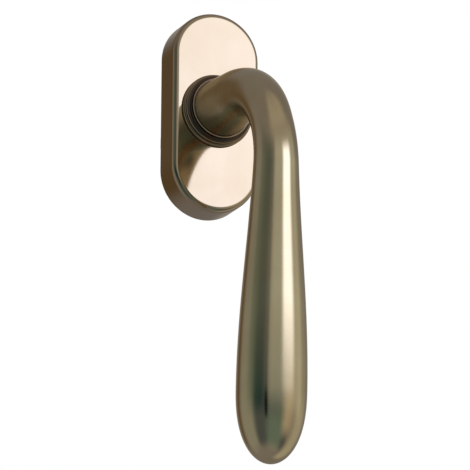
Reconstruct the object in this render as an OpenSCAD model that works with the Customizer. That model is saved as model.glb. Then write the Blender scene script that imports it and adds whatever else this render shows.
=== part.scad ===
// Tilt-and-turn window handle: an oval rose, a ringed collar and a teardrop lever.
//
// Every part is drawn lying down: the rose in the XY plane, the grip towards -Y and the height
// above the sash along +Z. stand_up() then turns it into the window's own frame, which has X to
// the right, Y into the sash and Z up. The origin is on the spindle axis, on the face of the sash.
// All sizes are in millimetres.

/* [Rose] */
// Width of the oval rose
rose_width = 30.4; // [29.5:0.1:33]
// Length of the oval rose
rose_length = 68; // [67:0.5:76]
// Height of the rose above the sash
rose_height = 11.1; // [11:0.1:12.5]
// Wall of the pressed rose cover
cover_wall = 1.3; // [1.1:0.1:1.3]
// Radius of the cover's front edge
cover_edge = 1.7; // [1.5:0.1:2.2]
// Lean of the cover's side walls, in degrees
cover_draft = 1; // [0.5:0.1:1.5]

/* [Collar] */
// Diameter of the collar's widest ring
collar_d = 24.4; // [24.2:0.1:25.5]
// Height of the widest ring above the rose's face
collar_ring_rise = 0.55; // [0.4:0.05:0.6]
// Diameter of the lip bead that hugs the neck
lip_d = 20.2; // [20.1:0.1:20.4]
// Height of the lip bead above the rose's face
lip_rise = 4.2; // [4:0.1:5]

/* [Lever] */
// Diameter of the neck where it leaves the collar
neck_d = 19.3; // [19.2:0.1:19.4]
// Height above the sash at which the neck starts to bend
bend_start = 28.6; // [27:0.1:34]
// Radius of the elbow's centreline
bend_radius = 29.5; // [26:0.5:34]
// Lean of the grip back towards the sash, in degrees
grip_lean = 2.9; // [0:0.1:4]
// Length of the grip below the elbow
grip_length = 91.3; // [80:0.1:105]
// Width of the lever's narrowest place
throat_width = 13.5; // [12.5:0.1:16]
// Place of the narrowest section, as a fraction of the bend
throat_place = 0.68; // [0.5:0.01:0.95]
// Width of the grip's widest place
belly_width = 21.9; // [19:0.1:24]
// Place of the widest section, as a fraction of the grip's length
belly_place = 0.75; // [0.65:0.01:0.8]
// Thickness of the throat as a fraction of its width
throat_flatness = 0.93; // [0.85:0.01:1]
// Thickness of the grip's widest place as a fraction of its width
belly_flatness = 0.88; // [0.8:0.01:1]

/* [Spindle] */
// Width across the flats of the square spindle
spindle_size = 7; // [6:0.1:7]
// Length of the spindle behind the rose
spindle_reach = 30; // [25:1:45]

/* [Fixings] */
// Distance between the two fixing screws
screw_spacing = 43; // [42.5:0.5:43.5]
// Diameter of the fixing screws
screw_d = 5; // [4.5:0.1:5]
// Length of the fixing screws, flush head included
screw_length = 30; // [20:1:60]
// Diameter of the bosses that support the screws in the sash
boss_d = 10; // [9:0.5:10]
// Length of the bosses behind the rose
boss_length = 2.5; // [1.5:0.5:4]

/* [Hidden] */
$fn = 64;

// Play around a pressed part, around one that turns or slides, and around one that drops in
close_play = 0.03;
running_play = 0.06;
loose_play = 0.1;
// Gap between the base plate and the inside of the rose cover
cover_gap = 0.5;
// How far a cutting shape runs past the face that it opens
cut = 1;

// Colours
bronze = [0.55, 0.42, 0.26];
steel = [0.62, 0.63, 0.65];
zinc = [0.52, 0.53, 0.55];
nylon = [0.88, 0.87, 0.82];

// Base plate
base_width = rose_width - 2 * (cover_wall + cover_gap);
base_length = rose_length - 2 * (cover_wall + cover_gap);
base_height = 8.4;
web_floor = 5.8;

// Mechanism pocket in the back of the base plate, and the plate that closes it
pocket_size = [18.8, 24.8];
mechanism_plate = [22, 32.2, 1];
mechanism_sink = 0.2;
mechanism_front = mechanism_sink + mechanism_plate.z;
rivet_at = [8.6, 14.3];
rivet_r = 1.25;
rivet_head_r = 1.8;
rivet_length = 4.2;

// Spigot of the lever: round in the bush, with two flats where it carries the cam
spigot_r = 6.2;
spigot_flat = 4.9;
spigot_back = 0.4;
neck_back = 9.25;
groove_r = 5.6;

// Stack along the spigot, from the sash to the room
ring_floor = 1.45;
ring_thickness = 0.75;
cam_floor = 2.35;
cam_thickness = 3;
cam_width = 13;
cam_corner_r = 8.45;
washer_floor = cam_floor + cam_thickness + 0.05;
washer_thickness = 0.35;
washer_width = 1.9;
bush_flange = 0.8;
bush_wall = 1.4;
bush_flange_r = 9.3;

// Leaf springs
spring_thickness = 0.5;
spring_width = 2.6;
spring_floor = cam_floor + 0.2;

// Lever
neck_r = neck_d / 2;
throat_r = throat_width / 2;
belly_r = belly_width / 2;
lip_height = rose_height + lip_rise;
bend_angle = 90 + grip_lean;
neck_run = bend_start - lip_height;
shank_run = neck_run + bend_radius * bend_angle * PI / 180;
throat_run = neck_run + (shank_run - neck_run) * throat_place;
belly_run = shank_run + grip_length * belly_place;
tip_run = grip_length * (1 - belly_place);
shank_taper = 1.25;
tip_fullness = 2.44;
lever_sides = 44;

// Spindle and its cross pin
spindle_front = 18;
socket_size = spindle_size + loose_play;
pin_height = 12.5;
pin_r = 1;

// Collar, its seat for the guide ring, and the tail rolled over behind the cover's face
collar_hole_r = 10.9;
guide_r = neck_r + running_play;
guide_wall = 0.5;
guide_floor = rose_height - cover_wall - 0.4;
guide_length = 4;
tail_r = 11.6;
ring_bulge = 0.82;
second_bulge = 0.6;
second_rise = 1.95;
second_step = 0.5;
cove_r = 0.7;
cove_offset = [1.15, -0.85];
lip_bulge = 0.4;

// Screws and bosses. The thread starts beyond the boss; the plain shank above it is slimmer.
screw_r = screw_d / 2;
screw_shank_r = screw_r - 0.26;
screw_head_r = 4.6;
screw_hole_r = screw_r + 0.15;
screw_sink = 0.05;
thread_start = -boss_length - 0.2;
recess_size = [5.2, 1.1, 1.6];
boss_r = boss_d / 2;

// Spring clips between the base plate's ends and the cover
clip_width = 4;
clip_thickness = 0.4;
clip_toe = 2.3;
clip_peak = 4.5;
clip_top = 7.9;
notch_width = 5.4;
notch_y = base_length / 2 - 2;
notch_floor = 0.9;
dimple_width = 4.6;
dimple_depth = 0.4;
dimple_from = 3;
dimple_to = 6.6;

// ---- Shared shapes ----

// Turns the lying-down drawing into the window's frame
module stand_up() {
    rotate([90, 0, 0]) children();
}

// Points of an arc, from one angle to another
function arc(centre, r, from, to, steps = 10) =
    [for (i = [0:steps]) let (a = from + (to - from) * i / steps) centre + r * [cos(a), sin(a)]];

// Flat outline with straight sides and round ends, its length along Y
module oblong(width, length) {
    square([width, length - width], center = true);
    for (end = [-1, 1])
        translate([0, end * (length - width) / 2]) circle(d = width);
}

// Half of the rose's cross-section: a leaning side and a rounded front edge
module rose_section(half, height, edge, draft) {
    centre = [half - (height - edge) * tan(draft) - edge / cos(draft), height - edge];
    polygon(concat([[0, 0], [half, 0]], arc(centre, edge, draft, 90), [[0, height]]));
}

// Solid oblong with leaning sides and a rounded front edge
module rose_block(width, length, height, edge, draft) {
    run = (length - width) / 2;
    for (end = [0, 180])
        rotate([0, 0, end]) translate([0, run, 0])
            rotate_extrude(angle = 180) rose_section(width / 2, height, edge, draft);
    for (side = [0, 180])
        rotate([0, 0, side]) translate([0, run, 0]) rotate([90, 0, 0])
            linear_extrude(2 * run) rose_section(width / 2, height, edge, draft);
}

// Round ring between two radii
module ring(inner_r, outer_r, floor, height) {
    translate([0, 0, floor]) difference() {
        cylinder(r = outer_r, h = height);
        translate([0, 0, -cut]) cylinder(r = inner_r, h = height + 2 * cut);
    }
}

// Outline of the spigot's back end: a circle with two flats
module spigot_outline(play = 0) {
    intersection() {
        circle(r = spigot_r + play);
        square([2 * (spigot_flat + play), 4 * spigot_r], center = true);
    }
}

// ---- Lever ----

function mix(from, to, t) = from + (to - from) * t;
function ease(t) = (1 - cos(180 * t)) / 2;
function clamp(t) = min(max(t, 0), 1);

// Angle that the centreline has turned through at distance s from the lip
function heading(s) = clamp((s - neck_run) / (shank_run - neck_run)) * bend_angle;

// Point [y, z] of the centreline at distance s from the lip
function spine(s) =
    let (turn = heading(s), grip = max(s - shank_run, 0), neck = min(s, neck_run))
    [
        -bend_radius * (1 - cos(turn)) - grip * sin(turn),
        lip_height + neck + bend_radius * sin(turn) + grip * cos(turn)
    ];

// How far the lever has narrowed at distance s: 0 at the lip, 1 at the throat
function narrowing(s) = clamp(s / throat_run);

// How far the grip has swollen at distance s: 0 at the throat, 1 at the belly
function swell(s) = ease(clamp((s - throat_run) / (belly_run - throat_run)));

// How far the rounded tip has closed at distance s: 0 at the belly, 1 at the end
function closing(s) = clamp((s - belly_run) / tip_run);

// Half width of the lever across the window
function half_width(s) =
    let (side = s < throat_run
        ? mix(throat_r, neck_r, pow(1 - narrowing(s), shank_taper))
        : mix(throat_r, belly_r, swell(s)))
    side * sqrt(1 - pow(closing(s), tip_fullness));

// Thickness of the lever as a fraction of its width
function flatness(s) =
    s < throat_run
        ? mix(1, throat_flatness, narrowing(s))
        : mix(throat_flatness, belly_flatness, swell(s));

// One ring of the lever's skin; play makes the first ring slimmer than the neck that it starts in
function lever_ring(s, play = 0) =
    let (p = spine(s), turn = heading(s), a = half_width(s) - play, b = a * flatness(s))
    [for (i = [0:lever_sides - 1])
        let (angle = 360 * i / lever_sides, up = b * sin(angle))
        [a * cos(angle), p.x + up * cos(turn), p.y + up * sin(turn)]];

// Skin of the lever from inside the neck to the tip
module lever_skin() {
    sunk = 0.6;
    neck_steps = 4;
    bend_steps = 18;
    grip_steps = 16;
    tip_steps = 10;
    stations = concat(
        [for (i = [1:neck_steps]) neck_run * i / neck_steps],
        [for (i = [1:bend_steps]) mix(neck_run, shank_run, i / bend_steps)],
        [for (i = [1:grip_steps]) mix(shank_run, belly_run, i / grip_steps)],
        [for (i = [1:tip_steps - 1]) belly_run + tip_run * sin(90 * i / tip_steps)]
    );
    rings = concat([lever_ring(-sunk, 0.05), lever_ring(0, 0.05)], [for (s = stations) lever_ring(s)]);
    tip = spine(belly_run + tip_run);
    count = len(rings);
    points = concat([for (r = rings) each r], [[0, tip.x, tip.y]]);
    last = count * lever_sides;
    polyhedron(points, concat(
        [[for (i = [0:lever_sides - 1]) i]],
        [for (k = [0:count - 2], i = [0:lever_sides - 1])
            let (j = (i + 1) % lever_sides, low = k * lever_sides, high = low + lever_sides)
            each [[low + i, high + i, high + j], [low + i, high + j, low + j]]],
        [for (i = [0:lever_sides - 1])
            [last - lever_sides + i, last, last - lever_sides + (i + 1) % lever_sides]]
    ));
}

module lever() {
    color(bronze) stand_up() difference() {
        union() {
            lever_skin();
            translate([0, 0, neck_back]) cylinder(r = neck_r, h = lip_height - neck_back);
            translate([0, 0, cam_floor + cam_thickness])
                cylinder(r = spigot_r, h = neck_back - cam_floor - cam_thickness);
            translate([0, 0, spigot_back])
                linear_extrude(cam_floor + cam_thickness - spigot_back) spigot_outline();
        }
        ring(groove_r, 2 * spigot_r, ring_floor - loose_play, ring_thickness + 2 * loose_play);
        translate([0, 0, spindle_front / 2])
            cube([socket_size, socket_size, spindle_front + 0.6], center = true);
        translate([0, 0, pin_height]) rotate([0, 90, 0])
            cylinder(r = pin_r + close_play, h = 3 * neck_r, center = true);
    }
}

// Square spindle with a turned chamfer on its end, drilled for the cross pin
module spindle() {
    chamfer_r = spindle_size * 0.56;
    length = spindle_reach + spindle_front;
    color(steel) stand_up() difference() {
        intersection() {
            translate([0, 0, (spindle_front - spindle_reach) / 2])
                cube([spindle_size, spindle_size, length], center = true);
            translate([0, 0, -spindle_reach])
                cylinder(r1 = chamfer_r, r2 = chamfer_r + length, h = length);
        }
        translate([0, 0, pin_height]) rotate([0, 90, 0])
            cylinder(r = pin_r + close_play, h = 2 * spindle_size, center = true);
    }
}

// Cross pin, a little shorter than the neck so that the collar slides over it
module spindle_pin() {
    color(steel) stand_up() translate([0, 0, pin_height]) rotate([0, 90, 0])
        cylinder(r = pin_r, h = 2 * neck_r - 0.6, center = true);
}

// Square cam with rounded corners: its flats rest on the leaf springs every quarter turn
module detent_cam() {
    color(steel) stand_up() translate([0, 0, cam_floor]) difference() {
        intersection() {
            translate([-cam_width / 2, -cam_width / 2, 0]) cube([cam_width, cam_width, cam_thickness]);
            cylinder(r = cam_corner_r, h = cam_thickness);
        }
        translate([0, 0, -cut]) linear_extrude(cam_thickness + 2 * cut) spigot_outline(close_play);
    }
}

// Circlip with a gap between two drilled lugs
module retaining_ring() {
    inner_r = groove_r + close_play;
    outer_r = 7.2;
    gap = 2.6;
    lug_r = 1.2;
    lug_turn = 22;
    color(steel) stand_up() translate([0, 0, ring_floor]) linear_extrude(ring_thickness)
        difference() {
            union() {
                circle(r = outer_r);
                for (side = [-1, 1])
                    rotate(side * lug_turn) translate([0, outer_r]) circle(r = lug_r);
            }
            circle(r = inner_r);
            translate([0, outer_r]) square([gap, 2 * (outer_r - inner_r + cut)], center = true);
            for (side = [-1, 1])
                rotate(side * lug_turn) translate([0, outer_r]) circle(r = lug_r / 2);
        }
}

// ---- Base of the rose ----

module screw_places() {
    for (end = [-1, 1])
        translate([0, end * screw_spacing / 2, 0]) children();
}

module rivet_places() {
    for (x = [-1, 1], y = [-1, 1])
        translate([x * rivet_at.x, y * rivet_at.y, 0]) children();
}

// Countersunk shape with its head flush at the given height
module countersunk(shank_r, head_r, top, length) {
    cone = head_r - shank_r;
    translate([0, 0, top - length]) cylinder(r = shank_r, h = length);
    translate([0, 0, top - cone]) cylinder(r1 = shank_r, r2 = head_r, h = cone);
}

module base_plate() {
    color(zinc) stand_up() difference() {
        union() {
            linear_extrude(base_height) oblong(base_width, base_length);
            screw_places() translate([0, 0, -boss_length]) cylinder(r = boss_r, h = boss_length + cut);
        }
        screw_places() {
            countersunk(
                screw_hole_r, screw_head_r + loose_play, base_height, base_height + boss_length + cut);
            translate([0, 0, base_height - 0.01]) cylinder(r = screw_head_r + loose_play, h = cut);
        }
        cylinder(r = spigot_r + running_play + bush_wall + close_play, h = base_height + cut);
        translate([-pocket_size.x / 2, -pocket_size.y / 2, -cut])
            cube([pocket_size.x, pocket_size.y, web_floor + cut]);
        translate([-mechanism_plate.x / 2 - loose_play, -mechanism_plate.y / 2 - loose_play, -cut])
            cube([
                mechanism_plate.x + 2 * loose_play,
                mechanism_plate.y + 2 * loose_play,
                mechanism_front + cut
            ]);
        rivet_places() cylinder(r = rivet_r + close_play, h = mechanism_sink + rivet_length + loose_play);
        for (end = [0, 180])
            rotate([0, 0, end]) translate([-notch_width / 2, notch_y, notch_floor])
                cube([notch_width, base_length, base_height]);
    }
}

// Flanged bush that carries the spigot in the base plate
module neck_bush() {
    inner_r = spigot_r + running_play;
    color(nylon) stand_up() {
        ring(inner_r, inner_r + bush_wall, web_floor + close_play, base_height - web_floor);
        ring(inner_r, bush_flange_r, base_height, bush_flange);
    }
}

module thrust_washer() {
    color(steel) stand_up()
        ring(spigot_r + 2 * loose_play, spigot_r + washer_width, washer_floor, washer_thickness);
}

// Plate that closes the mechanism pocket, sunk a little below the sash face
module mechanism_cover() {
    color(steel) stand_up() difference() {
        translate([-mechanism_plate.x / 2, -mechanism_plate.y / 2, mechanism_sink]) cube(mechanism_plate);
        cylinder(r = spigot_r + 4 * loose_play, h = mechanism_front + cut);
        rivet_places() mirror([0, 0, 1])
            countersunk(rivet_r + close_play, rivet_head_r + close_play, -mechanism_sink, rivet_length);
    }
}

module cover_rivets() {
    color(steel) stand_up() rivet_places() mirror([0, 0, 1])
        countersunk(rivet_r, rivet_head_r, -mechanism_sink, rivet_length);
}

// Bridge-shaped leaf spring: its feet stand on the pocket's side wall, its back lies on the cam
module leaf_spring(side) {
    back_x = cam_width / 2 + 0.05;
    depth = pocket_size.x / 2 - 0.05 - back_x;
    length = pocket_size.y - 0.4;
    color(steel) stand_up() rotate([0, 0, side]) translate([back_x, -length / 2, spring_floor])
        difference() {
            cube([depth, length, spring_width]);
            translate([spring_thickness, spring_thickness, -cut])
                cube([depth, length - 2 * spring_thickness, spring_width + 2 * cut]);
        }
}

module leaf_spring_left() {
    leaf_spring(180);
}

module leaf_spring_right() {
    leaf_spring(0);
}

// Two countersunk screws with a cross recess
module fixing_screws() {
    top = base_height - screw_sink;
    tip = top - screw_length;
    color(steel) stand_up() screw_places() {
        difference() {
            countersunk(screw_shank_r, screw_head_r, top, top - thread_start);
            for (turn = [0, 90])
                rotate([0, 0, turn])
                    translate([-recess_size.x / 2, -recess_size.y / 2, top - recess_size.z])
                    cube([recess_size.x, recess_size.y, recess_size.z + cut]);
        }
        translate([0, 0, tip]) cylinder(r = screw_r, h = thread_start - tip);
    }
}

// Hairpin spring clip in the notch at one end of the base plate: it snaps into the cover's dimple
module cover_clip(end) {
    foot = notch_y + loose_play;
    floor = notch_floor + loose_play;
    bend = foot + 1.6;
    bump = rose_length / 2 - cover_wall + dimple_depth - 0.15;
    toe = bump - 0.85;
    t = clip_thickness;
    outside = [[foot, floor], [foot, clip_top], [bend, clip_top], [bump, clip_peak], [toe, clip_toe]];
    inside = [
        [toe - t, clip_toe + 0.15], [bump - t, clip_peak], [bend - 0.3, clip_top - t],
        [foot + t, clip_top - t], [foot + t, floor]
    ];
    color(steel) stand_up() rotate([0, 0, end]) translate([-clip_width / 2, 0, 0])
        rotate([90, 0, 90]) linear_extrude(clip_width) polygon(concat(outside, inside));
}

module cover_clip_upper() {
    cover_clip(0);
}

module cover_clip_lower() {
    cover_clip(180);
}

// ---- Rose cover and what is pressed into it ----

module rose_cover() {
    inside = [rose_width - 2 * cover_wall, rose_length - 2 * cover_wall, rose_height - cover_wall];
    color(bronze) stand_up() difference() {
        rose_block(rose_width, rose_length, rose_height, cover_edge, cover_draft);
        translate([0, 0, -0.01])
            rose_block(inside.x, inside.y, inside.z + 0.01, cover_edge - 0.7, cover_draft);
        cylinder(r = collar_hole_r + close_play, h = rose_height + cut);
        for (end = [0, 180])
            rotate([0, 0, end]) translate([-dimple_width / 2, 0, dimple_from])
                cube([dimple_width, inside.y / 2 + dimple_depth, dimple_to - dimple_from]);
    }
}

// Turned collar: a wide ring, a second ring, a cove and the lip bead
module collar_ring() {
    seat_r = guide_r + guide_wall + close_play;
    seat_top = guide_floor + guide_length + loose_play;
    lip_bore_r = neck_r + 2 * running_play;
    first = [collar_d / 2 - ring_bulge, rose_height + collar_ring_rise];
    second = [first.x - second_step, rose_height + second_rise];
    lip = [lip_d / 2 - lip_bulge, lip_height];
    color(bronze) stand_up() rotate_extrude() polygon(concat(
        [
            [lip_bore_r, seat_top],
            [seat_r, seat_top],
            [seat_r, guide_floor],
            [tail_r, guide_floor],
            [tail_r, rose_height - cover_wall],
            [collar_hole_r, rose_height - cover_wall],
            [collar_hole_r, rose_height]
        ],
        arc(first, ring_bulge, -asin(collar_ring_rise / ring_bulge), 110),
        arc(second, second_bulge, -55, 80),
        arc(lip + cove_offset, cove_r, 250, 165, 5),
        arc(lip, lip_bulge, -25, 90),
        [[lip_bore_r, lip_height + lip_bulge]]
    ));
}

// Nylon ring inside the collar: it keeps the cover centred as it slides along the neck
module guide_ring() {
    color(nylon) stand_up() ring(guide_r, guide_r + guide_wall, guide_floor, guide_length);
}

lever();
spindle();
spindle_pin();
detent_cam();
retaining_ring();
base_plate();
neck_bush();
thrust_washer();
mechanism_cover();
cover_rivets();
leaf_spring_left();
leaf_spring_right();
fixing_screws();
cover_clip_upper();
cover_clip_lower();
rose_cover();
collar_ring();
guide_ring();
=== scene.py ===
"""Looks of the window handle: smooth skins, finishes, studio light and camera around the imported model."""

import math

import bpy
from mathutils import Matrix, Vector


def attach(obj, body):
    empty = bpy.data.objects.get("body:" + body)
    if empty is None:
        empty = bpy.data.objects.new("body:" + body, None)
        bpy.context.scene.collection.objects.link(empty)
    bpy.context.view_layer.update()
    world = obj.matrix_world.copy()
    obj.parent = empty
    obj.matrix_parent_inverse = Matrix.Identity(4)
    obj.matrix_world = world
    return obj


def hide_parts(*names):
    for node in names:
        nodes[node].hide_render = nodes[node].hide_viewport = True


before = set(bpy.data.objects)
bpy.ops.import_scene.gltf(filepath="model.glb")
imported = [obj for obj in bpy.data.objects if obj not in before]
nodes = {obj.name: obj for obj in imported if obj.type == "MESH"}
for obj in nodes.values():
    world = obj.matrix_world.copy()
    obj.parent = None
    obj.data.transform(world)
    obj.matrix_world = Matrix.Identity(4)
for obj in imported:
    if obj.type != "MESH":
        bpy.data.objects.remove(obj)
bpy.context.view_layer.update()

MM = 0.001

# Sizes of the smooth skins, in millimetres: the same driving sizes as the CAD model, apart from
# the clearance that keeps the lever's skin just inside it. Heights run from the sash to the room.
CLEARANCE = 0.01
ROSE_WIDTH = 30.4
ROSE_LENGTH = 68.0
ROSE_HEIGHT = 11.1
COVER_WALL = 1.3
COVER_EDGE = 1.7
COVER_DRAFT = math.radians(1)
COLLAR_HOLE_R = 10.93
COLLAR_R = 12.2
COLLAR_RISE = 0.55
LIP_R = 10.1
LIP_HEIGHT = ROSE_HEIGHT + 4.2
NECK_R = 9.65
NECK_BACK = 9.25
BEND_START = 28.6
BEND_RADIUS = 29.5
BEND_ANGLE = math.radians(92.9)
GRIP_LENGTH = 91.3 - CLEARANCE
THROAT_R = 6.75
THROAT_PLACE = 0.68
BELLY_R = 10.95 - CLEARANCE
BELLY_PLACE = 0.75
THROAT_FLATNESS = 0.93
BELLY_FLATNESS = 0.88
SCREW_SPACING = 43.0
SCREW_R = 2.5
SCREW_HEAD_R = 4.6
SCREW_SHANK_R = 2.24
SCREW_TOP = 8.35
SCREW_LENGTH = 30.0
THREAD_START = -2.7


# ---- Mesh building ----

def stand_up(x, y, height):
    """A point of the lying-down drawing, in millimetres, as a point of the window's frame in metres."""
    return Vector((x * MM, -height * MM, y * MM))


def arc(centre, radius, start, end, steps):
    """Points of an arc in a cross-section, between two angles in degrees."""
    angles = [math.radians(start + (end - start) * i / steps) for i in range(steps + 1)]
    return [(centre[0] + radius * math.cos(a), centre[1] + radius * math.sin(a)) for a in angles]


def skin(name, rings, body, replaced, closed=False, sharp=35, crest_wear_and_sheen=None):
    """A smooth mesh through rings of equal length. It rides on the body and replaces CAD nodes."""
    side = len(rings[0])
    points = [p for ring in rings for p in ring]
    count = len(rings)
    faces = []
    for k in range(count if closed else count - 1):
        low, high = k * side, (k + 1) % count * side
        for i in range(side):
            j = (i + 1) % side
            faces.append((low + i, low + j, high + j, high + i))
    if not closed:
        faces.append(tuple(reversed(range(side))))
        faces.append(tuple(range((count - 1) * side, count * side)))
    mesh = bpy.data.meshes.new(name)
    mesh.from_pydata(points, [], faces)
    mesh.shade_smooth()
    mesh.set_sharp_from_angle(angle=math.radians(sharp))
    # Per-ring value that a finish turns into worn brass with a painted highlight at 1 and patina with
    # painted shade at 0
    if crest_wear_and_sheen is not None:
        layer = mesh.attributes.new("crest_wear_and_sheen", "FLOAT", "POINT")
        layer.data.foreach_set("value", [w for w in crest_wear_and_sheen for _ in range(side)])
    piece = bpy.data.objects.new(name, mesh)
    bpy.context.scene.collection.objects.link(piece)
    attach(piece, body)
    if replaced:
        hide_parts(*replaced)
    return piece


def circle(radius, height, sides, y=0.0):
    """A flat ring of points around the axis that stands at y."""
    angles = [2 * math.pi * i / sides for i in range(sides)]
    return [stand_up(radius * math.cos(a), y + radius * math.sin(a), height) for a in angles]


def carve(piece, ends):
    """Cuts a straight hole into the piece. Its two ends are rings of the same length."""
    side = len(ends[0])
    faces = [tuple(reversed(range(side))), tuple(range(side, 2 * side))]
    faces += [(i, (i + 1) % side, side + (i + 1) % side, side + i) for i in range(side)]
    mesh = bpy.data.meshes.new("cutter")
    mesh.from_pydata([p for end in ends for p in end], [], faces)
    cutter = bpy.data.objects.new("cutter", mesh)
    bpy.context.scene.collection.objects.link(cutter)
    hole = piece.modifiers.new("hole", "BOOLEAN")
    hole.operation = "DIFFERENCE"
    hole.object = cutter
    bpy.context.view_layer.update()
    carved = piece.evaluated_get(bpy.context.evaluated_depsgraph_get())
    piece.data = bpy.data.meshes.new_from_object(carved)
    piece.modifiers.remove(hole)
    bpy.data.objects.remove(cutter)


# ---- Lever ----

# How the shank narrows and how full the tip is: exponents of their curves
SHANK_TAPER = 1.25
TIP_FULLNESS = 2.44

LEVER_SIDES = 96
NECK_STEPS = 12
BEND_STEPS = 72
GRIP_STEPS = 90
TIP_STEPS = 40
# The last ring of the tip stands just short of the point where the tip would have no width
TIP_END = 0.99995

# Spigot behind the neck: its circlip groove runs between two heights
SPIGOT_R = 6.2
SPIGOT_FLAT = 4.9
SPIGOT_BACK = 0.4
SPIGOT_SHOULDER = 5.35
GROOVE_R = 5.6
GROOVE = (1.35, 2.3)

# Cross pin, and the square socket for the spindle
PIN_HEIGHT = 12.5
PIN_HOLE_R = 1.03
PIN_HOLE_SIDES = 24
SOCKET = 7.1
SOCKET_END = 18.3

# Distances along the centreline, from the collar's lip
NECK_RUN = BEND_START - LIP_HEIGHT
SHANK_RUN = NECK_RUN + BEND_RADIUS * BEND_ANGLE
THROAT_RUN = NECK_RUN + BEND_RADIUS * BEND_ANGLE * THROAT_PLACE
BELLY_RUN = SHANK_RUN + GRIP_LENGTH * BELLY_PLACE
TIP_RUN = GRIP_LENGTH * (1 - BELLY_PLACE)


def mix(start, end, t):
    return start + (end - start) * t


def clamp(t):
    return min(max(t, 0.0), 1.0)


def ease(t):
    return (1 - math.cos(math.pi * t)) / 2


def lever_ring(s):
    """Cross-section of the lever at distance s along its centreline from the collar's lip."""
    turn = clamp((s - NECK_RUN) / (SHANK_RUN - NECK_RUN)) * BEND_ANGLE
    grip = max(s - SHANK_RUN, 0.0)
    y = -BEND_RADIUS * (1 - math.cos(turn)) - grip * math.sin(turn)
    height = LIP_HEIGHT + min(s, NECK_RUN) + BEND_RADIUS * math.sin(turn) + grip * math.cos(turn)
    narrowing = clamp(s / THROAT_RUN)
    swell = ease(clamp((s - THROAT_RUN) / (BELLY_RUN - THROAT_RUN)))
    closing = clamp((s - BELLY_RUN) / TIP_RUN)
    if s < THROAT_RUN:
        half_width = mix(THROAT_R, NECK_R, (1 - narrowing) ** SHANK_TAPER)
        flatness = mix(1, THROAT_FLATNESS, narrowing)
    else:
        half_width = mix(THROAT_R, BELLY_R, swell) * math.sqrt(1 - closing**TIP_FULLNESS)
        flatness = mix(THROAT_FLATNESS, BELLY_FLATNESS, swell)
    ring = []
    for i in range(LEVER_SIDES):
        angle = 2 * math.pi * i / LEVER_SIDES
        up = half_width * flatness * math.sin(angle)
        ring.append(stand_up(
            half_width * math.cos(angle), y + up * math.cos(turn), height + up * math.sin(turn)))
    return ring


def polar_ring(radius_at, height):
    """A flat ring whose radius is a function of the angle."""
    angles = [2 * math.pi * i / LEVER_SIDES for i in range(LEVER_SIDES)]
    return [stand_up(radius_at(a) * math.cos(a), radius_at(a) * math.sin(a), height) for a in angles]


def flatted(angle):
    """Radius of the spigot where it has two flats."""
    return min(SPIGOT_R, SPIGOT_FLAT / max(abs(math.cos(angle)), 1e-6))


def grooved(angle):
    """Radius of the spigot in the circlip's groove."""
    return min(GROOVE_R, flatted(angle))


def socket(angle):
    """Radius of the square socket."""
    return SOCKET / 2 / max(abs(math.cos(angle)), abs(math.sin(angle)))


def lever_back():
    """Rings of the socket and the stepped spigot, up to the back of the neck."""
    return [
        polar_ring(socket, SOCKET_END), polar_ring(socket, SPIGOT_BACK), polar_ring(flatted, SPIGOT_BACK),
        polar_ring(flatted, GROOVE[0]), polar_ring(grooved, GROOVE[0]),
        polar_ring(grooved, GROOVE[1]), polar_ring(flatted, GROOVE[1]),
        polar_ring(flatted, SPIGOT_SHOULDER), circle(SPIGOT_R, SPIGOT_SHOULDER, LEVER_SIDES),
        circle(SPIGOT_R, NECK_BACK, LEVER_SIDES), circle(NECK_R, NECK_BACK, LEVER_SIDES),
    ]


def lever_stations():
    """Distances along the centreline at which the lever gets a ring: closer together near the tip."""
    stations = [NECK_RUN * i / NECK_STEPS for i in range(NECK_STEPS)]
    stations += [mix(NECK_RUN, SHANK_RUN, i / BEND_STEPS) for i in range(BEND_STEPS)]
    stations += [mix(SHANK_RUN, BELLY_RUN, i / GRIP_STEPS) for i in range(GRIP_STEPS)]
    stations += [BELLY_RUN + TIP_RUN * math.sin(math.pi / 2 * i / TIP_STEPS) for i in range(TIP_STEPS)]
    stations.append(BELLY_RUN + TIP_RUN * TIP_END)
    return stations


def pin_hole_ring(x):
    """Outline of the cross pin's hole, in the plane at x."""
    angles = [2 * math.pi * i / PIN_HOLE_SIDES for i in range(PIN_HOLE_SIDES)]
    return [stand_up(x, PIN_HOLE_R * math.sin(a), PIN_HEIGHT + PIN_HOLE_R * math.cos(a)) for a in angles]


def make_lever():
    """The lever from the bottom of its socket, out over the spigot and along to the tip."""
    rings = lever_back() + [lever_ring(s) for s in lever_stations()]
    lever = skin("lever_skin", rings, "handle", ["lever"])
    carve(lever, [pin_hole_ring(-NECK_R - 1), pin_hole_ring(NECK_R + 1)])
    return lever


# ---- Rose cover ----

# Dimples inside both ends, into which the spring clips snap
DIMPLE_HALF_WIDTH = 2.5
DIMPLE_DEPTH = 0.4
DIMPLE_HEIGHTS = (3.0, 6.6)
DIMPLE_RAMP = 0.1

INNER_EDGE = COVER_EDGE - 0.7
BACK_CHAMFER = 0.1

# Rings this close to a hole or an edge keep the smooth shading of the flat face flat
HOLE_SUPPORT = 0.4
FACE_SUPPORTS = (0.1, 0.8)
END_STEPS = 48
SIDE_STEPS = 24


def oblong_ring(inset, height, dimpled=False):
    """Outline of the rose, moved inwards by inset, at a height. Its second half mirrors the first."""
    radius = ROSE_WIDTH / 2 - inset
    run = (ROSE_LENGTH - ROSE_WIDTH) / 2
    half = arc((0, run), radius, 0, 180, END_STEPS)
    if dimpled:
        half = [(x, y + DIMPLE_DEPTH * (abs(x) < DIMPLE_HALF_WIDTH)) for x, y in half]
    half += [(-radius, run - 2 * run * k / SIDE_STEPS) for k in range(1, SIDE_STEPS)]
    return [stand_up(side * x, side * y, height) for side in (1, -1) for x, y in half]


def hole_ring(radius, height):
    """The collar's hole, with one point for each point of the oblong outline."""
    outline = [(p.x, p.z) for p in oblong_ring(0, 0)]
    angles = [math.atan2(z, x) for x, z in outline]
    return [stand_up(radius * math.cos(a), radius * math.sin(a), height) for a in angles]


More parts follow.
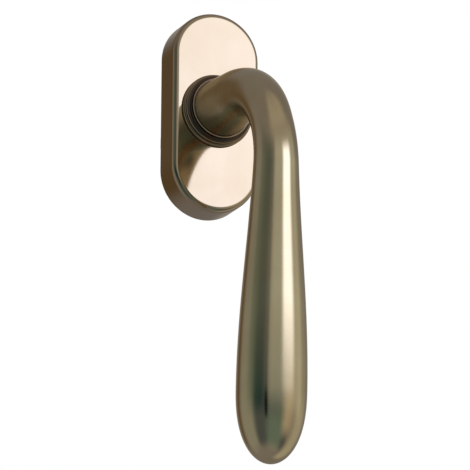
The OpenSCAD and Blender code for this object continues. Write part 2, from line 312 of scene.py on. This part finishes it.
def side_inset(height):
    """How far the leaning side wall stands in at a height."""
    return height * math.tan(COVER_DRAFT)


def rounded_edge(base, radius, inset, start, steps):
    """Rings over the rounded edge above a wall, from the start angle to the flat face."""
    rings = []
    for k in range(steps + 1):
        angle = mix(start, math.pi / 2, k / steps)
        rings.append(oblong_ring(inset + radius * (1 - math.cos(angle)), base + radius * math.sin(angle)))
    return rings


def make_rose_cover():
    """The pressed cover: up its outside, through the collar's hole and down its inside."""
    edge_base = ROSE_HEIGHT - COVER_EDGE
    face = side_inset(edge_base) + COVER_EDGE
    inner_front = ROSE_HEIGHT - COVER_WALL
    inner_base = inner_front - INNER_EDGE
    rings = [oblong_ring(side_inset(height), height) for height in (BACK_CHAMFER, 2, 4, 6, 8)]
    rings += rounded_edge(edge_base, COVER_EDGE, side_inset(edge_base), COVER_DRAFT, 12)
    rings += [oblong_ring(face + support, ROSE_HEIGHT) for support in FACE_SUPPORTS]
    rings += [hole_ring(COLLAR_HOLE_R + HOLE_SUPPORT, ROSE_HEIGHT), hole_ring(COLLAR_HOLE_R, ROSE_HEIGHT)]
    rings += [hole_ring(COLLAR_HOLE_R, inner_front), hole_ring(COLLAR_HOLE_R + HOLE_SUPPORT, inner_front)]
    inner_wall = COVER_WALL + side_inset(inner_base)
    rings += reversed(rounded_edge(inner_base, INNER_EDGE, inner_wall, 0, 5))
    low, high = DIMPLE_HEIGHTS
    for height, dimpled in (
            (high, False), (high - DIMPLE_RAMP, True), (low + DIMPLE_RAMP, True),
            (low, False), (BACK_CHAMFER, False)):
        rings.append(oblong_ring(COVER_WALL + side_inset(height), height, dimpled))
    rings += [oblong_ring(COVER_WALL - BACK_CHAMFER, 0), oblong_ring(BACK_CHAMFER, 0)]
    return skin("rose_cover_skin", rings, "cover", ["rose_cover"], closed=True)


# ---- Collar ----

# Radii of the two rings' crests, the lip bead and the cove below it, and their places
COLLAR_SIDES = 128
FIRST_CREST = 0.82
SECOND_CREST = 0.6
SECOND_STEP = 0.5
SECOND_RISE = 1.95
LIP_CREST = 0.4
COVE_R = 0.7
COVE_OFFSET = (1.15, 0.85)

# Bore, sleeve and flange inside the cover, with the guide ring's seat
SLEEVE_R = 10.9
FLANGE_R = 11.6
LIP_PLAY = 0.12
GUIDE_SEAT = 0.59
GUIDE_SINK = 0.4
GUIDE_HEIGHT = 4.1


def make_collar():
    """Turned collar. Its crests are worn bright and carry a painted highlight; between them lie patina and
    painted shade, which the finish reads from a per-vertex attribute.
    """
    inner_front = ROSE_HEIGHT - COVER_WALL
    guide_floor = inner_front - GUIDE_SINK
    lip_bore_r = NECK_R + LIP_PLAY
    guide_seat_r = NECK_R + GUIDE_SEAT
    first = (COLLAR_R - FIRST_CREST, ROSE_HEIGHT + COLLAR_RISE)
    second = (first[0] - SECOND_STEP, ROSE_HEIGHT + SECOND_RISE)
    lip = (LIP_R - LIP_CREST, LIP_HEIGHT)
    cove = (lip[0] + COVE_OFFSET[0], lip[1] - COVE_OFFSET[1])
    foot = -math.degrees(math.asin(COLLAR_RISE / FIRST_CREST))
    section = [
        (lip_bore_r, guide_floor + GUIDE_HEIGHT), (guide_seat_r, guide_floor + GUIDE_HEIGHT),
        (guide_seat_r, guide_floor), (FLANGE_R, guide_floor), (FLANGE_R, inner_front),
        (SLEEVE_R, inner_front), (SLEEVE_R, ROSE_HEIGHT),
    ]
    crest_wear_and_sheen = [0.0] * len(section)
    # Shine of each arc: worn brass with a painted highlight on the crests, patina with painted shade in the
    # cove
    crests = [
        (arc(first, FIRST_CREST, foot, 110, 24), 0.5),
        (arc(second, SECOND_CREST, -55, 80, 20), 0.7),
        (arc(cove, COVE_R, 250, 165, 10), 0.0),
        (arc(lip, LIP_CREST, -25, 90, 16), 1.0),
    ]
    for points, shine in crests:
        section += points
        crest_wear_and_sheen += [shine * math.sin(math.pi * i / (len(points) - 1)) ** 2 for i in range(len(points))]
    section.append((lip_bore_r, LIP_HEIGHT + LIP_CREST))
    crest_wear_and_sheen.append(0.3)
    rings = [circle(radius, height, COLLAR_SIDES) for radius, height in section]
    return skin(
        "collar_skin", rings, "cover", ["collar_ring"], closed=True, crest_wear_and_sheen=crest_wear_and_sheen)


# ---- Screws ----

SCREW_SIDES = 32
THREAD_PITCH = 0.8
THREAD_DEPTH = 0.42
THREAD_STATIONS = 8
TIP_CONE = 0.5
TIP_CONE_LENGTH = 1.0
HEAD_CHAMFER = 0.1
HEAD_RIM = 0.05
SHANK_STEP = 0.2
RECESS_LENGTH = 5.2
RECESS_WIDTH = 1.1
RECESS_DEPTH = 1.6


def thread_ring(y, height, tip):
    """Cross-section of the thread: it fades out at its start and has a small cone at the tip."""
    fade = clamp((THREAD_START - height) / THREAD_PITCH)
    cone = TIP_CONE * (1 - clamp((height - tip) / TIP_CONE_LENGTH))
    ring = []
    for i in range(SCREW_SIDES):
        crest = abs(2 * ((height / THREAD_PITCH + i / SCREW_SIDES) % 1) - 1)
        radius = SCREW_R - THREAD_DEPTH * crest * fade - cone
        angle = 2 * math.pi * i / SCREW_SIDES
        ring.append(stand_up(radius * math.cos(angle), y + radius * math.sin(angle), height))
    return ring


def make_screw(name, y):
    """Countersunk machine screw with a rolled thread, a slimmer plain shank and a cross recess."""
    tip = SCREW_TOP - SCREW_LENGTH
    count = round((THREAD_START - tip) / THREAD_PITCH * THREAD_STATIONS)
    rings = [thread_ring(y, mix(tip, THREAD_START, k / count), tip) for k in range(count + 1)]
    rim_r = SCREW_HEAD_R - HEAD_CHAMFER
    outline = [
        (SCREW_SHANK_R, THREAD_START + SHANK_STEP),
        (SCREW_SHANK_R, SCREW_TOP - SCREW_HEAD_R + SCREW_SHANK_R),
        (rim_r, SCREW_TOP - HEAD_CHAMFER),
        (rim_r, SCREW_TOP - HEAD_RIM),
        (rim_r - HEAD_CHAMFER, SCREW_TOP),
    ]
    rings += [circle(radius, height, SCREW_SIDES, y) for radius, height in outline]
    screw = skin(name, rings, "base", [], sharp=50)
    for half_x, half_y in ((RECESS_LENGTH / 2, RECESS_WIDTH / 2), (RECESS_WIDTH / 2, RECESS_LENGTH / 2)):
        corners = ((-half_x, -half_y), (half_x, -half_y), (half_x, half_y), (-half_x, half_y))
        carve(screw, [
            [stand_up(u, y + v, height) for u, v in corners]
            for height in (SCREW_TOP - RECESS_DEPTH, SCREW_TOP + 1)
        ])
    return screw


# ---- Finishes ----

# The hollow on the inside of the elbow, and the underside of the neck where shade is painted, in metres
ELBOW_HOLLOW = (0.0, -0.021, -0.012)
NECK_UNDERSIDE = (-0.002, -0.0175, -0.0095)


class Finish:
    """A procedural material: short names for the nodes that its recipe uses."""

    def __init__(self, name):
        self.material = bpy.data.materials.new(name)
        self.material.use_nodes = True
        self.tree = self.material.node_tree
        self.shader = self.tree.nodes["Principled BSDF"]
        self.place = self.tree.nodes.new("ShaderNodeTexCoord").outputs["Object"]

    def node(self, kind, **settings):
        made = self.tree.nodes.new(kind)
        for key, value in settings.items():
            setattr(made, key, value)
        return made

    def link(self, source, target):
        self.tree.links.new(source, target)

    def noise(self, scale, detail=3.0, stretch=(1, 1, 1), distortion=0.0):
        """Noise with this many features a metre, stretched along the axes."""
        mapping = self.node("ShaderNodeMapping")
        mapping.inputs["Scale"].default_value = stretch
        self.link(self.place, mapping.inputs["Vector"])
        made = self.node("ShaderNodeTexNoise")
        made.inputs["Scale"].default_value = scale
        made.inputs["Detail"].default_value = detail
        made.inputs["Distortion"].default_value = distortion
        self.link(mapping.outputs["Vector"], made.inputs["Vector"])
        return made.outputs["Fac"]

    def spread(self, value, low, high, start, end):
        """A number that runs from low to high while the value runs from start to end."""
        made = self.node("ShaderNodeMapRange")
        made.inputs["From Min"].default_value = start
        made.inputs["From Max"].default_value = end
        made.inputs["To Min"].default_value = low
        made.inputs["To Max"].default_value = high
        self.link(value, made.inputs["Value"])
        return made.outputs["Result"]

    def ramp(self, value, low, high, start=0.3, end=0.7):
        """A colour that runs from low to high while the value runs from start to end."""
        made = self.node("ShaderNodeValToRGB")
        made.color_ramp.elements[0].position = start
        made.color_ramp.elements[0].color = (*low, 1)
        made.color_ramp.elements[1].position = end
        made.color_ramp.elements[1].color = (*high, 1)
        self.link(value, made.inputs["Fac"])
        return made.outputs["Color"]

    def blend(self, amount, first, second):
        """first where the amount is 0, second where it is 1."""
        made = self.node("ShaderNodeMix", data_type="RGBA")
        self.link(amount, made.inputs["Factor"])
        self.link(first, made.inputs["A"])
        self.link(second, made.inputs["B"])
        return made.outputs["Result"]

    def plain(self, colour):
        made = self.node("ShaderNodeRGB")
        made.outputs["Color"].default_value = (*colour, 1)
        return made.outputs["Color"]

    def worn_edges(self, radius):
        """1 on edges within the radius, 0 on open faces."""
        bevel = self.node("ShaderNodeBevel", samples=6)
        bevel.inputs["Radius"].default_value = radius
        geometry = self.node("ShaderNodeNewGeometry")
        dot = self.node("ShaderNodeVectorMath", operation="DOT_PRODUCT")
        self.link(bevel.outputs["Normal"], dot.inputs[0])
        self.link(geometry.outputs["Normal"], dot.inputs[1])
        return self.spread(dot.outputs["Value"], 1.0, 0.0, 0.75, 0.98)

    def bump(self, height, strength, distance):
        made = self.node("ShaderNodeBump")
        made.inputs["Strength"].default_value = strength
        made.inputs["Distance"].default_value = distance
        self.link(height, made.inputs["Height"])
        self.link(made.outputs["Normal"], self.shader.inputs["Normal"])

    def colour(self, source):
        self.link(source, self.shader.inputs["Base Color"])

    def source(self, name):
        """What feeds one of the shader's inputs so far."""
        return self.shader.inputs[name].links[0].from_socket

    def roughness(self, source):
        self.link(source, self.shader.inputs["Roughness"])

    def fixed(self, name, value):
        """One of the shader's own settings, the same all over."""
        self.shader.inputs[name].default_value = value


def bronzed_brass(name, polished, patina, rough=(0.12, 0.18)):
    """Polished brass under a brown bronze patina and a thin clear lacquer, rubbed bright at the edges:
    partly wear, partly a painted highlight along them.
    """
    finish = Finish(name)
    finish.fixed("Metallic", 1.0)
    finish.fixed("Coat Weight", 0.15)
    finish.fixed("Coat Roughness", 0.06)
    clouds = finish.noise(45, detail=5, distortion=0.6)
    tone = finish.ramp(clouds, patina, polished, 0.25, 0.6)
    rubbed_and_glint = finish.plain([min(1.0, c * 1.2) for c in polished])
    # Bright edges: rubbed wear together with a painted highlight
    finish.colour(finish.blend(finish.worn_edges(0.0003), tone, rubbed_and_glint))
    strokes = finish.noise(260, detail=4, stretch=(1, 1, 0.16))
    finish.roughness(finish.spread(strokes, rough[0], rough[1], 0.3, 0.7))
    finish.bump(finish.noise(900, detail=3, stretch=(1, 1, 0.25)), 0.05, 0.00002)
    return finish


def nearness(finish, place, full, reach):
    """1 within the full distance of a place, in metres, fading to 0 at the reach."""
    away = finish.node("ShaderNodeVectorMath", operation="DISTANCE")
    finish.link(finish.place, away.inputs[0])
    away.inputs[1].default_value = place
    return finish.spread(away.outputs["Value"], 1.0, 0.0, full, reach)


def dull_elbow(finish, rough):
    """Leaves the patina duller around the inside of the elbow, where no hand polishes it."""
    extra = finish.node("ShaderNodeMath", operation="MULTIPLY_ADD")
    finish.link(nearness(finish, ELBOW_HOLLOW, 0.012, 0.03), extra.inputs[0])
    extra.inputs[1].default_value = rough
    finish.link(finish.source("Roughness"), extra.inputs[2])
    finish.roughness(extra.outputs[0])


def paint_neck_shade(finish, dark):
    """Painted shade: darkens the colour on the underside of the neck, beside the collar."""
    near = nearness(finish, NECK_UNDERSIDE, 0.003, 0.013)
    finish.colour(finish.blend(near, finish.source("Base Color"), finish.plain(dark)))


def grooves_patina_and_shade(finish, dark):
    """Dark patina with painted shade between the crests of the collar, which a per-vertex attribute marks.
    """
    crest = finish.node("ShaderNodeAttribute", attribute_name="crest_wear_and_sheen")
    tone = finish.source("Base Color")
    finish.colour(finish.blend(crest.outputs["Fac"], finish.plain(dark), tone))


def plated_steel(name, colour, rough):
    """Bright zinc plate with a faint blue and yellow cast, brushed by handling."""
    finish = Finish(name)
    finish.fixed("Metallic", 1.0)
    warm = tuple(c * k for c, k in zip(colour, (1.03, 1.0, 0.9)))
    cool = tuple(c * k for c, k in zip(colour, (0.92, 0.97, 1.04)))
    cast = finish.ramp(finish.noise(90, detail=3, distortion=0.8), cool, warm, 0.35, 0.65)
    bright = finish.plain([min(1.0, c * 1.25) for c in colour])
    finish.colour(finish.blend(finish.worn_edges(0.0002), cast, bright))
    finish.roughness(finish.spread(finish.noise(700, stretch=(1, 0.12, 1)), rough[0], rough[1], 0.3, 0.7))
    finish.bump(finish.noise(1800, detail=2), 0.12, 0.00003)
    return finish.material


def die_cast_zinc():
    """Raw zinc casting: dull, mottled, with a fine grain and bright edges."""
    finish = Finish("raw_zinc_casting")
    finish.fixed("Metallic", 1.0)
    mottled = finish.ramp(finish.noise(120, detail=6), (0.3, 0.3, 0.31), (0.47, 0.47, 0.48))
    bright = finish.plain((0.66, 0.66, 0.66))
    finish.colour(finish.blend(finish.worn_edges(0.00025), mottled, bright))
    finish.roughness(finish.spread(finish.noise(400, detail=4), 0.42, 0.62, 0.3, 0.7))
    finish.bump(finish.noise(2500, detail=4), 0.35, 0.00004)
    return finish.material


def natural_nylon():
    """Turned nylon: slightly translucent, with faint tool rings."""
    finish = Finish("natural_nylon")
    finish.fixed("IOR", 1.53)
    finish.fixed("Subsurface Weight", 0.15)
    finish.fixed("Subsurface Radius", (0.001, 0.0008, 0.0006))
    finish.colour(finish.ramp(finish.noise(200), (0.74, 0.72, 0.64), (0.84, 0.83, 0.77)))
    finish.roughness(finish.spread(finish.noise(500, stretch=(1, 6, 1)), 0.34, 0.5, 0.3, 0.7))
    finish.bump(finish.noise(1500, detail=2, stretch=(0.3, 3, 0.3)), 0.15, 0.00003)
    return finish.material


def dress_bronze():
    """The three pieces that are seen in use: lever, rose cover and collar."""
    lever = bronzed_brass("lever_bronze", (0.77, 0.62, 0.415), (0.66, 0.52, 0.335))
    rose = bronzed_brass("rose_bronze", (0.58, 0.452, 0.32), (0.54, 0.41, 0.275), rough=(0.05, 0.09))
    collar = bronzed_brass("collar_bronze", (0.85, 0.62, 0.39), (0.65, 0.47, 0.29))
    dull_elbow(lever, 0.14)
    # Painted shade on the underside of the neck
    paint_neck_shade(lever, (0.36, 0.26, 0.18))
    # Dark patina with painted shade in the collar's grooves
    grooves_patina_and_shade(collar, (0.1, 0.068, 0.055))
    for piece, finish in ((make_lever(), lever), (make_rose_cover(), rose), (make_collar(), collar)):
        piece.data.materials.append(finish.material)


def dress_works():
    """Everything inside and behind the rose."""
    plate = plated_steel("bright_zinc_plate", (0.66, 0.67, 0.68), rough=(0.3, 0.44))
    spring = plated_steel("oiled_spring_steel", (0.4, 0.41, 0.43), rough=(0.25, 0.45))
    zinc = die_cast_zinc()
    nylon = natural_nylon()
    screws = [make_screw("screw_upper", SCREW_SPACING / 2), make_screw("screw_lower", -SCREW_SPACING / 2)]
    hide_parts("fixing_screws")
    for screw in screws:
        screw.data.materials.append(plate)
    finishes = {
        "spindle": plate, "mechanism_cover": plate, "cover_rivets": plate,
        "spindle_pin": spring, "detent_cam": spring, "retaining_ring": spring, "thrust_washer": spring,
        "leaf_spring_left": spring, "leaf_spring_right": spring,
        "cover_clip_upper": spring, "cover_clip_lower": spring,
        "base_plate": zinc, "neck_bush": nylon, "guide_ring": nylon,
    }
    for name, material in finishes.items():
        nodes[name].data.materials.clear()
        nodes[name].data.materials.append(material)


# ---- Studio ----

ROOM = (0.213, 0.208, 0.203)
# Soft light panels around the handle, and flags that take light away. For each: azimuth, elevation,
# width, height and softness in degrees as the handle sees it, then its colour and strength.
PANELS = {
    "key": ((34, 19, 35, 18, 14), (1.32, 1.46, 1.9)),
    "glow_around_key": ((30, 18, 110, 34, 24), (0.21, 0.24, 0.2)),
    "high_front": ((15, 60, 120, 40, 40), (0.17, 0.16, 0.12)),
    "low_right": ((88, -30, 46, 80, 30), (0.19, 0.2, 0.13)),
    "low_front": ((40, -8, 30, 34, 24), (0.34, 0.28, 0.19)),
    "low_centre": ((2, -32, 60, 52, 30), (0.055, 0.1, 0.07)),
    "back_left": ((-105, -15, 64, 70, 30), (0.055, 0.08, 0.055)),
    "flag_front": ((-10, -22, 130, 60, 24), (-0.135, -0.112, -0.097)),
    "flag_left": ((-65, 15, 60, 34, 24), (-0.105, -0.08, -0.085)),
    "flag_back": ((-152, 10, 26, 60, 24), (-0.085, -0.118, -0.155)),
    "behind": ((157, 17, 46, 46, 16), (0.09, 0.07, 0.04)),
    "dark_stand": ((-29, 12, 7, 44, 5), (-0.06, -0.06, -0.05)),
    "dark_camera": ((-29, -5, 9, 18, 6), (-0.1, -0.12, -0.12)),
}
BACKDROP = (1.0, 1.0, 1.0)
# The floor is as far below the handle as it is in a room, in metres
FLOOR_HEIGHT = -1.4
FLOOR_HALF = 8.0


def direction(azimuth, elevation):
    """Unit vector from the handle: azimuth 0 points into the room and 90 to the right, in degrees."""
    a, e = math.radians(azimuth), math.radians(elevation)
    return Vector((math.sin(a) * math.cos(e), -math.cos(a) * math.cos(e), math.sin(e)))


class World:
    """The studio around the handle, as a world shader."""

    def __init__(self):
        world = bpy.data.worlds.new("studio")
        bpy.context.scene.world = world
        world.use_nodes = True
        self.tree = world.node_tree
        ray = self.tree.nodes.new("ShaderNodeTexCoord").outputs["Generated"]
        split = self.tree.nodes.new("ShaderNodeSeparateXYZ")
        self.tree.links.new(ray, split.inputs[0])
        into_room = self.math("MULTIPLY", split.outputs["Y"], -1.0)
        self.azimuth = self.math("DEGREES", self.math("ARCTAN2", split.outputs["X"], into_room))
        self.elevation = self.math("DEGREES", self.math("ARCSINE", split.outputs["Z"]))

    def math(self, operation, *values):
        node = self.tree.nodes.new("ShaderNodeMath")
        node.operation = operation
        for value, socket in zip(values, node.inputs):
            if isinstance(value, float):
                socket.default_value = value
            else:
                self.tree.links.new(value, socket)
        return node.outputs[0]

    def fade(self, angle, half_size, softness):
        """1 while the angle is well inside the half size, fading to 0 outside it."""
        node = self.tree.nodes.new("ShaderNodeMapRange")
        node.interpolation_type = "SMOOTHSTEP"
        node.inputs["From Min"].default_value = half_size + softness / 2
        node.inputs["From Max"].default_value = half_size - softness / 2
        self.tree.links.new(angle, node.inputs["Value"])
        return node.outputs["Result"]

    def add_panel(self, light, place, colour):
        """The light with one more panel in it."""
        azimuth, elevation, width, height, softness = place
        across = self.math("SUBTRACT", self.azimuth, float(azimuth))
        across = self.math("ABSOLUTE", self.math("WRAP", across, 180.0, -180.0))
        along = self.math("ABSOLUTE", self.math("SUBTRACT", self.elevation, float(elevation)))
        amount = self.math(
            "MULTIPLY", self.fade(across, width / 2, softness), self.fade(along, height / 2, softness))
        node = self.tree.nodes.new("ShaderNodeVectorMath")
        node.operation = "MULTIPLY_ADD"
        self.tree.links.new(amount, node.inputs[0])
        node.inputs[1].default_value = colour
        self.tree.links.new(light, node.inputs[2])
        return node.outputs["Vector"]


    def without_negatives(self, light):
        node = self.tree.nodes.new("ShaderNodeVectorMath")
        node.operation = "MAXIMUM"
        self.tree.links.new(light, node.inputs[0])
        return node.outputs["Vector"]


def make_world():
    """Panels and room light the handle; the camera itself sees a plain white backdrop."""
    world = World()
    start = world.tree.nodes.new("ShaderNodeCombineXYZ")
    for socket, value in zip(start.inputs, ROOM):
        socket.default_value = value
    light = start.outputs[0]
    for place, colour in PANELS.values():
        light = world.add_panel(light, place, colour)
    light = world.without_negatives(light)
    background = world.tree.nodes["Background"]
    path = world.tree.nodes.new("ShaderNodeLightPath")
    seen = world.tree.nodes.new("ShaderNodeMixRGB")
    world.tree.links.new(path.outputs["Is Camera Ray"], seen.inputs["Fac"])
    world.tree.links.new(light, seen.inputs["Color1"])
    seen.inputs["Color2"].default_value = (*BACKDROP, 1)
    world.tree.links.new(seen.outputs["Color"], background.inputs["Color"])
    background.inputs["Strength"].default_value = 1.0


def make_floor():
    """Plain pale floor of the room. The handle itself reflects only the studio's panels."""
    signs = ((-1, -1), (1, -1), (1, 1), (-1, 1))
    corners = [(FLOOR_HALF * x, FLOOR_HALF * y, FLOOR_HEIGHT) for x, y in signs]
    mesh = bpy.data.meshes.new("floor")
    mesh.from_pydata(corners, [], [(0, 1, 2, 3)])
    floor = bpy.data.objects.new("floor", mesh)
    bpy.context.scene.collection.objects.link(floor)
    floor.visible_glossy = False
    floor.visible_diffuse = False
    material = bpy.data.materials.new("floor")
    material.use_nodes = True
    shader = material.node_tree.nodes["Principled BSDF"]
    shader.inputs["Base Color"].default_value = (0.8, 0.79, 0.77, 1)
    shader.inputs["Roughness"].default_value = 0.9
    shader.inputs["Emission Color"].default_value = (1, 0.99, 0.97, 1)
    shader.inputs["Emission Strength"].default_value = 0.62
    mesh.materials.append(material)


def make_studio():
    make_world()
    make_floor()
    bpy.context.scene.view_settings.view_transform = "Standard"


# ---- Camera ----

# Where the camera stands, as seen from the spindle axis on the sash, in degrees and metres
CAMERA_AZIMUTH = -22.39
CAMERA_ELEVATION = -17.42
CAMERA_DISTANCE = 0.8005
# Where it looks: the direction of its back, and its roll, in degrees
BACK_AZIMUTH = -23.17
BACK_ELEVATION = -14.73
ROLL = 0.19
LENS = 185.9


def make_camera():
    back = direction(BACK_AZIMUTH, BACK_ELEVATION)
    right = Vector((0, 0, 1)).cross(back).normalized()
    up = back.cross(right)
    turn = Matrix((right, up, back)).transposed() @ Matrix.Rotation(math.radians(ROLL), 3, "Z")
    data = bpy.data.cameras.new("camera")
    data.lens = LENS
    data.sensor_width = 36.0
    data.clip_start = 0.05
    camera = bpy.data.objects.new("camera", data)
    bpy.context.scene.collection.objects.link(camera)
    location = direction(CAMERA_AZIMUTH, CAMERA_ELEVATION) * CAMERA_DISTANCE
    camera.matrix_world = Matrix.Translation(location) @ turn.to_4x4()
    bpy.context.scene.camera = camera


dress_bronze()
dress_works()
make_studio()
make_camera()
